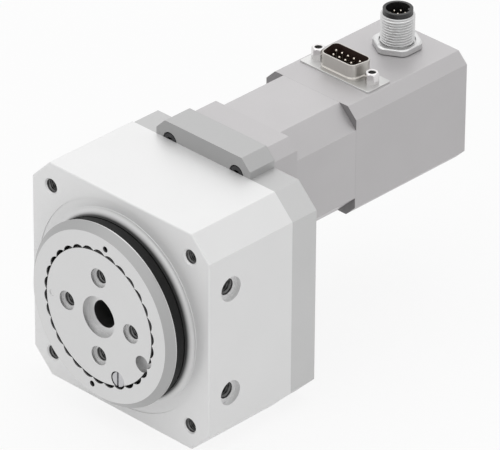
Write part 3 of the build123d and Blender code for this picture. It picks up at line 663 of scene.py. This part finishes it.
def threads_in_the_holes():
    """M5 in the four front corners and round the turntable, M6 in both sides."""
    corners = [(x * CORNER_PITCH / 2, z * CORNER_PITCH / 2) for x in (-1, 1) for z in (-1, 1)]
    for count, (x, z) in enumerate(corners, 1):
        place = (x, HOUSING_FRONT + CORNER_COUNTERSINK, z)
        hole_thread(f"front_thread_{count}", place, FORWARDS, M5,
                    11 * MM, "housing_group", THREAD)
    for count in range(4):
        turn = pi / 2 * count
        place = (BOLT_CIRCLE_RADIUS * cos(turn), BOLT_COUNTERBORE, BOLT_CIRCLE_RADIUS * sin(turn))
        hole_thread(f"turntable_thread_{count + 1}", place, FORWARDS, M5,
                    6 * MM, "output_group", THREAD)
    for side, axis, word in ((1, RIGHTWARDS, "right"), (-1, LEFTWARDS, "left")):
        for count, z in enumerate((-SIDE_HOLE_PITCH / 2, SIDE_HOLE_PITCH / 2), 1):
            place = (side * (HOUSING_HALF_WIDTH - SIDE_COUNTERBORE), SIDE_HOLE_Y, z)
            hole_thread(f"{word}_thread_{count}", place, axis, M6,
                        9 * MM, "housing_group", THREAD)


def round_pins(name, spots, centre_y, pin, node):
    """Contact pins with bullet tips: a quarter of an ellipse turned about each pin's axis, on a
    straight shank from the board. All of one connector's pins are one mesh."""
    radius, top = pin
    turns = full_turn(columns=16)
    rise = np.linspace(0, pi / 2, 7)[:-1]
    tip = zip(radius * np.cos(rise), top - TIP_RADII * radius * (1 - np.sin(rise)))
    radii, heights = level_rows(((0.0, BOARD_TOP), (radius, BOARD_TOP), *tip, (0.0, top)), turns)
    pins = [around(radii, heights, turns, (x, centre_y + y, 0), UPWARDS) for x, y in spots]
    shut_grids(name, pins, CONTACT, "housing_group", node)


def connector_pins():
    """Five and four pins in two rows in the flat connector; one in the middle and seven round
    it in the round one."""
    rows = [(DSUB_PIN_PITCH * (i - 2), DSUB_HALF_ROWS) for i in range(5)]
    rows += [(DSUB_PIN_PITCH * (i - 1.5), -DSUB_HALF_ROWS) for i in range(4)]
    round_pins("nine_pins", rows, DSUB_Y, DSUB_PIN, "dsub_pins")
    turns = [radians(M12_FIRST_PIN + i * 360 / 7) for i in range(7)]
    ring = [(M12_PIN_CIRCLE * cos(turn), M12_PIN_CIRCLE * sin(turn)) for turn in turns]
    round_pins("eight_pins", [(0, 0)] + ring, M12_Y, M12_PIN, "m12_pins")


def jackscrews():
    """Hexagonal standoffs: the hexagon's rows are cut by a circle at the chamfered top, the
    bore's rows carry a fine thread, and the stud's rows run down through the plate."""
    turns = full_turn(columns=48)
    seat, top = JACKSCREW_SEAT, JACKSCREW_TOP
    outline = hexagon_reach(turns, JACKSCREW_FLATS, JACKSCREW_CORNERS)
    rows = level_rows((
        (0.0, seat - STUD_LENGTH),
        (STUD_RADIUS, seat - STUD_LENGTH),
        (STUD_RADIUS, seat),
        (outline, seat),
        (outline, top - 0.45 * MM),
        (np.minimum(outline, 2.18 * MM), top - 0.12 * MM),
        (np.minimum(outline, 2.0 * MM), top),
        (JACKSCREW_BORE + 0.17 * MM, top),
        (JACKSCREW_BORE, top - 0.2 * MM),
        (JACKSCREW_BORE, top - JACKSCREW_BORE_DEPTH),
        (0.0, top - JACKSCREW_BORE_DEPTH),
    ), turns)
    grids = []
    for count, x in enumerate((-JACKSCREW_PITCH / 2, JACKSCREW_PITCH / 2), 1):
        grids.append(around(*rows, turns, (x, DSUB_Y, 0), UPWARDS))
        hole_thread(f"jackscrew_thread_{count}", (x, DSUB_Y, top), UPWARDS, JACKSCREW_THREAD,
                    3.5 * MM, "housing_group", DARK_THREAD)
    shut_grids("hexagon_jackscrews", grids, NICKEL,
               "housing_group", "dsub_jackscrews")


# Floor, background and lights

def seen_rays(tree):
    """1 for the rays that the camera, a gloss or a clear piece sends out, 0 for soft light."""
    path = add_node(tree, "LightPath").outputs
    seen = path["Is Camera Ray"]
    for kind in ("Is Glossy Ray", "Is Transmission Ray"):
        seen = add_node(tree, "Math", links={0: seen, 1: path[kind]},
                        operation="MAXIMUM").outputs[0]
    return seen


def pale_floor():
    """Floor of matt white paper, which keeps the part's shadow. What the camera and the metal
    see of it is mostly plain white at strength 1."""
    material = bpy.data.materials.new("matt_white_paper")
    material.use_nodes = True
    tree = material.node_tree
    tree.nodes.clear()
    paper = add_node(tree, "BsdfPrincipled", {"Base Color": linear("#f2f2f2"), "Roughness": 0.9})
    white = add_node(tree, "Emission", {"Color": WHITE, "Strength": 1.0})
    share = add_node(tree, "Math", {1: FLOOR_WHITE}, {0: seen_rays(tree)}, operation="MULTIPLY")
    mixed = add_node(tree, "MixShader", links={0: share.outputs[0], 1: paper.outputs["BSDF"],
                                               2: white.outputs["Emission"]})
    add_node(tree, "OutputMaterial", links={"Surface": mixed.outputs["Shader"]})
    corners = [(-1, -1), (1, -1), (1, 1), (-1, 1)]
    mesh = bpy.data.meshes.new("floor")
    mesh.from_pydata([(x * FLOOR_REACH, y * FLOOR_REACH, FLOOR) for x, y in corners],
                     [], [(0, 1, 2, 3)])
    mesh.materials.append(material)
    floor = bpy.data.objects.new("floor", mesh)
    bpy.context.collection.objects.link(floor)


def white_world():
    """The world is white at strength 1 for what the camera and the metal see of it, and lights
    the part more softly."""
    world = bpy.data.worlds.new("white_studio")
    world.use_nodes = True
    tree = world.node_tree
    tree.nodes.clear()
    level = add_node(tree, "Math", {1: 1.0 - WORLD_LEVEL, 2: WORLD_LEVEL}, {0: seen_rays(tree)},
                     operation="MULTIPLY_ADD")
    sky = add_node(tree, "Background", {"Color": WHITE}, {"Strength": level.outputs[0]})
    add_node(tree, "OutputWorld", links={"Surface": sky.outputs[0]})
    bpy.context.scene.world = world


def soft_lamp(name, place, side, power):
    """Square area lamp, turned towards the part's middle."""
    data = bpy.data.lights.new(name, "AREA")
    data.size = side
    data.energy = power
    lamp = bpy.data.objects.new(name, data)
    place = Vector(place)
    turn = (place - CAMERA_TARGET).to_track_quat("Z", "Y").to_matrix().to_4x4()
    lamp.matrix_world = Matrix.Translation(place) @ turn
    bpy.context.collection.objects.link(lamp)


place_camera()
dress_frame()
threaded_m12_shell()
threads_in_the_holes()
connector_pins()
jackscrews()
pressed_d_shell()
pale_floor()
white_world()
for lamp in LAMPS:
    soft_lamp(*lamp)

bpy.context.scene.view_settings.view_transform = "Standard"
